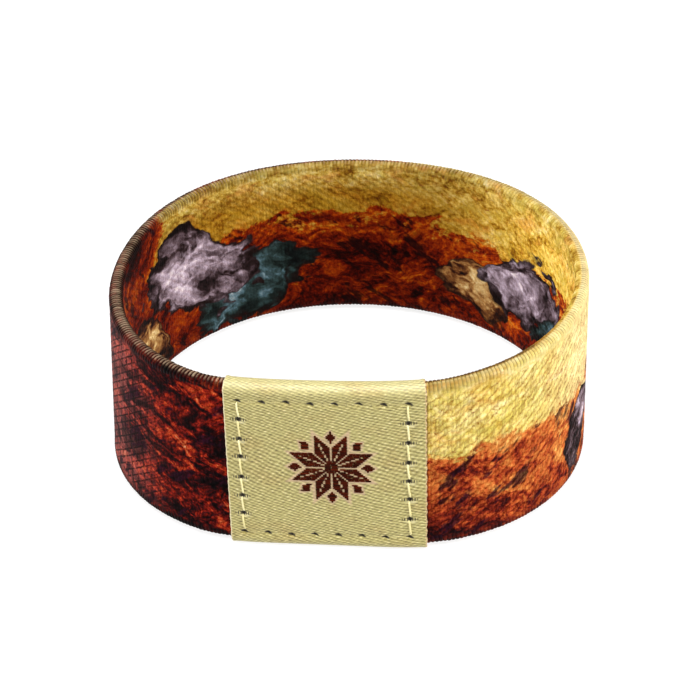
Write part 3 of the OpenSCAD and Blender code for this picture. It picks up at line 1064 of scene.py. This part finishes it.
# The ribbon's line round the elastic: out, up, normal and the distance along it, equal to the height
# on the front
def ribbonLine():
    r, front, back, gap = label["fold"], label["front"], label["back"], label["seamGap"]
    low, high, middle, quarter = r, totalHeight - r, totalHeight / 2, math.pi / 2
    parts = []

    def straight(a, b, step, normal):
        n = max(2, round(np.abs(np.subtract(b, a)).sum() / step))
        t = np.linspace(0, 1, n, endpoint=False)[:, None]
        parts.append(np.concatenate([a + t * np.subtract(b, a), np.repeat([normal], n, 0)], 1))

    def arc(centreOut, centreUp, start):
        a = np.linspace(start, start + quarter, round(r * quarter / label["foldStep"]), endpoint=False)
        normal = np.stack([np.cos(a), np.sin(a)], 1)
        parts.append(np.concatenate([(centreOut, centreUp) + r * normal, normal], 1))

    straight((back, middle - gap), (back, low), label["backStep"], (-1, 0))
    arc(back + r, low, math.pi)
    straight((back + r, 0), (front - r, 0), label["foldStep"], (0, -1))
    arc(front - r, low, -quarter)
    straight((front, low), (front, high), label["frontStep"], (1, 0))
    arc(front - r, high, 0)
    straight((front - r, totalHeight), (back + r, totalHeight), label["foldStep"], (0, 1))
    arc(back + r, high, quarter)
    straight((back, high), (back, middle + gap), label["backStep"], (-1, 0))
    line = np.concatenate([*parts, [[back, middle + gap, -1, 0]]])
    distance = distanceAlong(line[:, :2])
    onFront = np.argmin(np.abs(line[:, 1] - middle) + 9 * (line[:, 2] < 0.99))
    return line, distance - distance[onFront] + line[onFront, 1]


# The holes of the seam, across and up: two sides without their ends, and two rows
def stitchHoles():
    heights = np.linspace(seam["bottom"], seam["top"], seam["sideStitches"] + 1)[1:-1]
    places = np.linspace(seam["left"], seam["right"], seam["rowStitches"] + 1)
    luck = np.random.default_rng(7)
    left, right = (
        [(seam[side] + aside * luck.normal(), up + upward * luck.normal()) for up in heights]
        for side, (aside, upward) in seam["sideLuck"].items()
    )
    bottom, top = (
        [(across, seam[row] + seam["rowLuck"] * luck.normal()) for across in places]
        for row in ("bottom", "top")
    )
    return left, right, bottom, top


# How far a point lies inside the star, above 0 in a petal: an eight-pointed star of eight rhombs,
# with a small diamond in each notch
def starDepth(across, up):
    x, y = across - star["middle"][0], up - star["middle"][1]
    angle, distance = np.arctan2(y, x), np.hypot(x, y)
    sector, tilt, reach = math.pi / 4, math.pi / 8, star["reach"]
    fromPetal = angle - (np.floor(angle / sector) + 0.5) * sector
    px, py = distance * np.cos(fromPetal), np.abs(distance * np.sin(fromPetal))
    petal = np.minimum(px, reach - px) * math.sin(tilt) - py * math.cos(tilt) - star["gap"] / 2
    slit, slitReach = star["slit"]
    petal = np.minimum(petal, np.where(px < slitReach * reach, py - slit, 9))
    fromNotch = angle - np.round(angle / sector) * sector
    place, size, slopeOut, slopeAside = star["diamond"]
    dx, dy = np.abs(distance * np.cos(fromNotch) - reach * place), np.abs(distance * np.sin(fromNotch))
    diamond = size - dx * slopeOut - dy * slopeAside
    return np.maximum(np.maximum(petal, diamond), star["heart"] - distance)


# How many twill lines, and cuts across them, lie between the origin and a place
def twillTurns(across, up):
    fine = np.linspace(-20, 50, 1401)
    atStar = np.exp(-(np.abs(fine - twill["starUp"]) / twill["starHalf"]) ** 3)
    density = twill["up"] + (twill["upAtStar"] - twill["up"]) * atStar
    sums = np.concatenate([[0], np.cumsum((density[1:] + density[:-1]) / 2)]) * (fine[1] - fine[0])
    climbed = np.interp(up, fine, sums)
    lines = twill["along"] * across - twill["alongFalls"] / 2 * across ** 2 + climbed
    return lines, twill["cut"][0] * across + twill["cut"][1] * climbed


def ribbonPoint(across, out, up):
    return loopPoint(across + loopForm["labelSlant"] * (up / totalHeight - 0.5), out, up)


# The way to a place on the ribbon's front from the nearest hole, and how far the seam and its holes pull
# the ribbon in there
def seamAt(across, up):
    left, right, bottom, top = stitchHoles()
    holes = np.array(left + right + bottom + top)
    dx, dy = across[..., None] - holes[:, 0], up[..., None] - holes[:, 1]
    distance = np.hypot(dx, dy)
    nearest = distance.argmin(-1)[..., None]
    onSide = nearest < len(left + right)
    fromHole = np.concatenate([*(np.take_along_axis(d, nearest, -1) for d in (dx, dy)), onSide], -1)
    sideLine = np.minimum(np.abs(across - seam["left"]), np.abs(across - seam["right"]))
    sideLine = np.where((up > seam["bottom"]) & (up < seam["top"]), sideLine, 9)
    rowLine = np.minimum(np.abs(up - seam["bottom"]), np.abs(up - seam["top"]))
    rowLine = np.where((across > seam["left"]) & (across < seam["right"]), rowLine, 9)
    pull = np.exp(-(np.minimum(sideLine, rowLine) / seam["pullReach"]) ** 2)
    hollow = np.clip(1 - distance.min(-1) / seam["hole"], 0, 1)
    return fromHole, seam["pull"] * pull + seam["holeDepth"] * hollow


def makeLabel(material):
    line, distance = ribbonLine()
    rows, front, inner = len(line), label["columns"], label["innerColumns"]
    # Round the ribbon's own cross-section: the outside, one side, the inside, the other side
    edge = [labelHalf + label["edgeOut"]] * 2
    across = np.linspace(-labelHalf, labelHalf, front)
    back = np.linspace(labelHalf, -labelHalf, inner)
    across = np.concatenate([across, edge, back, np.negative(edge)])
    depth = np.concatenate([np.zeros(front), label["round"], np.ones(inner), label["round"][::-1]])
    columns = len(across)
    across, d = np.broadcast_arrays(across, distance[:, None])
    fromSide = labelHalf - np.abs(across)
    outside = depth == 0
    onFront = (line[:, 2:3] > 0.99) & outside
    sideways = np.sign(across) * np.clip(1 - fromSide / 0.5, 0, 1)
    scallop = np.sin(fullTurn * d / label["scallop"][1] + 0.9 * np.sin(d * 0.7) + 0.5 * np.sin(d * 1.9))
    scallop = scallop * label["scallop"][0] * np.where(across > 0, 1, label["leftScallop"])
    lines, cuts = twillTurns(across, d)
    inStar = starDepth(across, d)
    darkest, haloReach = label["halo"]
    nearStar = np.clip(1 - np.abs(inStar + darkest) / haloReach, 0, 1) * onFront * (inStar < 0.15)
    height = (0.5 + 0.3 * np.cos(fullTurn * lines) + 0.08 * np.cos(fullTurn * cuts)) * outside
    height = np.where((inStar > 0) & onFront, label["starHeight"], height)
    fromHole, pull = seamAt(across, d)
    bead = label["bead"] * np.exp(-((fromSide - label["beadPlace"]) / label["beadPlace"]) ** 2)
    relief = twill["depth"] * (height - 0.5) + bead - pull * onFront
    lift = np.where(outside, relief, 0) - label["cloth"] * depth
    out = line[:, 0:1] + line[:, 2:3] * lift
    up = np.maximum(line[:, 1:2] + line[:, 3:4] * lift, 0)       # it stands on its lower fold
    faces, row, column = gridFaces(rows, columns)
    caps = [list(range(columns))[::-1], list(range((rows - 1) * columns, rows * columns))]
    # The ribbon is folded once on the map, so that its pixels are square.
    along = (distance - distance[0]) / (distance[-1] - distance[0])
    half = rows // 2
    second = row.min(1, keepdims=True) >= half
    uvY = np.where(second, (along[row] - along[half]) / (1 - along[half]), along[row] / along[half])
    uvX = np.interp(column, (0, front - 1, columns), (0, *label["ringMap"])) * 0.5 + 0.5 * second
    uv = np.stack([uvX, uvY * label["mapTop"]], -1).reshape(-1, 2)
    uv = np.concatenate([uv, np.full((2 * columns, 2), label["endSpot"])])
    flat = np.zeros_like(d)
    values = {
        "clothPlace": np.stack([across, d, flat], -1), "twillTurns": np.stack([lines, cuts, flat], -1),
        "fromHole": np.where(onFront[..., None], fromHole, 9.0), "starHalo": nearStar,
        "edgeShare": np.where(outside, np.clip(1 - fromSide / label["edgeWide"], 0, 1), 1.0),
    }
    return addPiece("label_ribbon", ribbonPoint(across + sideways * scallop, out, up), faces.tolist() + caps,
                    material, values, uv)


# Threads along lines of points, flattened against the loop. Each has a tone from 0, dark, to 1.
def addThreads(name, lines, halfWidths, flatness, tones, material, sides):
    lines = np.array(lines)
    run = unit(np.gradient(lines, axis=1))
    aside = unit(np.cross(run, (lines + footprintMiddle) * (1, 1, 0)))
    points = yarnSkin(lines, aside, flatness * np.cross(run, aside), halfWidths, sides)
    shade = np.clip(tones, 0, 1)[:, None, None]
    return addYarns(name, points, material, {"clothPlace": points, "yarnShade": shade})


def makeStar(material):
    lines, tones = [], []
    luck = np.random.default_rng(11)
    (middle, middleUp), pitch, reach = star["middle"], star["row"], star["reach"] + 0.2
    fine = np.arange(-reach, reach, 0.05)
    share, swell = np.array(star["share"]), np.array(star["swell"])
    out = label["front"] + 0.01 + star["lift"] * (swell - swell[0])
    for k in range(int(2 * reach / pitch)):
        up = middleUp - reach + (k + 0.5) * pitch
        inside = starDepth(np.round(fine / pitch) * pitch + middle, up) > 0
        change = np.flatnonzero(np.diff(np.concatenate([[0], inside.astype(int), [0]])))
        for begin, end in zip(change[::2], change[1::2]):
            start, stop = middle + fine[begin] - 0.02, middle + fine[end - 1] + 0.05
            count = max(1, round((stop - start) / star["float"]))
            cuts = np.linspace(start, stop, count + 1)
            cuts[1:-1] += luck.normal(0, star["floatLuck"], count - 1)
            for a, b in zip(cuts[:-1], cuts[1:]):
                if b - a >= star["leastFloat"]:
                    lines.append(ribbonPoint(a + (b - a) * share, out, up))
                    tones.append(0.5 + 0.25 * luck.normal())
    return addThreads("label_star", lines, star["thread"] * swell, star["flatness"], tones, material, 6)


def makeStitches(material):
    luck = np.random.default_rng(5)
    left, right, bottom, top = stitchHoles()
    sides, rows = ([bottom[0], *left, top[0]], [bottom[-1], *right, top[-1]]), (bottom, top)
    share, dive = np.array(seam["share"]), np.array(seam["dive"])

    def sew(name, face, kinds):
        lines, halfWidths, tones = [], [], []
        for chains, (halfWidth, tone, sink) in kinds:
            out = face + (dive - sink - seam["pull"]) * np.sign(face)
            for a, b in (pair for chain in chains for pair in zip(chain[:-1], chain[1:])):
                way = np.subtract(b, a)
                across, up = a[0] + way[0] * share, a[1] + way[1] * share
                bow = seam["bow"] * luck.normal() * np.sin(np.pi * share)
                if abs(way[0]) > abs(way[1]):
                    up = up + bow
                else:
                    across = across + bow + seam["drift"] * (1 - 2 * share)
                lines.append(ribbonPoint(across, out, up))
                halfWidths.append([halfWidth])
                tones.append(tone + seam["toneLuck"] * luck.normal())
        return addThreads(name, lines, np.array(halfWidths), seam["flatness"], tones, material, 8)

    outside = sew("label_thread", label["front"], ((sides, seam["side"]), (rows, seam["row"])))
    inside = sew("label_thread_inside", label["back"], (((*sides, *rows), seam["inside"]),))
    return outside, inside


def dress():
    elasticMaterial, rimMaterial = printedElasticMaterial(), rimYarnMaterial()
    outerCloth = elasticFace("band_outer_cloth", 1, elasticMaterial)
    innerCloth = elasticFace("band_inner_cloth", -1, elasticMaterial)
    topLoops = makeEdgeLoops("band_top_loops", True, rimMaterial)
    bottomLoops = makeEdgeLoops("band_bottom_loops", False, rimMaterial)
    ribbon = makeLabel(labelMaterial())
    starPiece = makeStar(threadMaterial("brownThread", *brownThread))
    threads = makeStitches(threadMaterial("sewingThread", *sewingThread))
    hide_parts("band")
    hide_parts("label")
    _, distance = ribbonLine()


dress()
